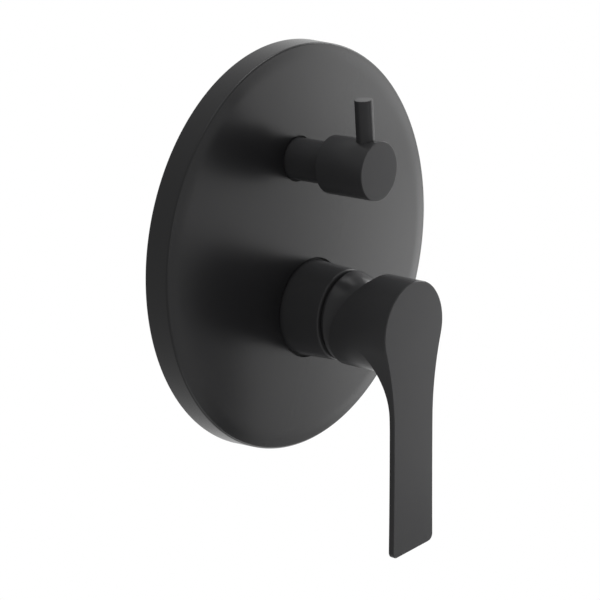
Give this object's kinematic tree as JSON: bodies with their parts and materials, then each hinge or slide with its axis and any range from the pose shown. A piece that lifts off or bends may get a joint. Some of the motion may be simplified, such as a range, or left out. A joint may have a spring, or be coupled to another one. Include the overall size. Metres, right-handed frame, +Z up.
{
  "type": "shower diverter valve",
  "caption": "Concealed shower mixer and diverter valve with a round wall plate, a drop lever over a domed cap and a diverter knob with a pin handle.",
  "frame": {"origin": "middle of the cover plate's back rim, on the wall's face", "axes": "+X to the right for somebody facing the wall, +Y into the wall, +Z up"},
  "size_m": [0.18, 0.1016, 0.2195],
  "materials": {
    "black_finish": "matte powder coat",
    "brass": "cast and machined",
    "steel": "plain stainless steel",
    "rubber": "moulded",
    "ceramic": "lapped ceramic",
    "cartridge_plastic": "moulded"
  },
  "bodies": {
    "fixed": {"cover_plate": "black_finish", "plate_rim_seal": "rubber", "plate_main_gasket": "rubber", "plate_diverter_gasket": "rubber", "main_sleeve": "black_finish", "main_sleeve_ring": "rubber", "dome_cap": "black_finish", "cartridge_housing": "cartridge_plastic", "cartridge_base": "cartridge_plastic", "cartridge_port_seals": "rubber", "cartridge_fixed_disc": "ceramic", "cartridge_nut": "brass", "diverter_sleeve": "black_finish", "diverter_headwork": "brass", "diverter_nut": "brass", "diverter_fixed_disc": "ceramic", "diverter_base_seal": "rubber", "valve_body": "brass"},
    "swivel": {"stem_swivel": "cartridge_plastic", "stem_pivot_pin": "steel"},
    "lever": {"lever_handle": "black_finish", "lever_grub_screw": "steel", "lever_stem": "steel"},
    "disc": {"cartridge_moving_disc": "ceramic", "disc_carrier": "cartridge_plastic"},
    "diverter": {"diverter_knob": "black_finish", "diverter_pin": "black_finish", "diverter_grub_screw": "steel", "diverter_spindle": "brass", "diverter_spindle_seal": "rubber", "diverter_circlip": "steel", "diverter_moving_disc": "ceramic"}
  },
  "joints": [
    {"name": "lever_swivel", "type": "hinge", "parent": "fixed", "child": "swivel", "pos_m": [0, -0.0293, -0.0278], "axis": [0, 1, 0], "range_deg": [-51.6, 38.4]},
    {"name": "lever_tilt", "type": "hinge", "parent": "swivel", "child": "lever", "pos_m": [0, -0.0293, -0.0278], "axis": [-0.9934, 0, 0.1149], "range_deg": [0, 20]},
    {"name": "disc_slide", "type": "slide", "parent": "swivel", "child": "disc", "axis": [-0.1149, 0, -0.9934], "range_m": [0, 0.0042]},
    {"name": "diverter_turn", "type": "hinge", "parent": "fixed", "child": "diverter", "pos_m": [0, -0.0427, 0.041], "axis": [0, 1, 0], "range_deg": [-2.1, 87.9]}
  ],
  "couplings": [
    {"joint": "disc_slide", "follows": "lever_tilt", "m_per_rad": 0.0119}
  ]
}
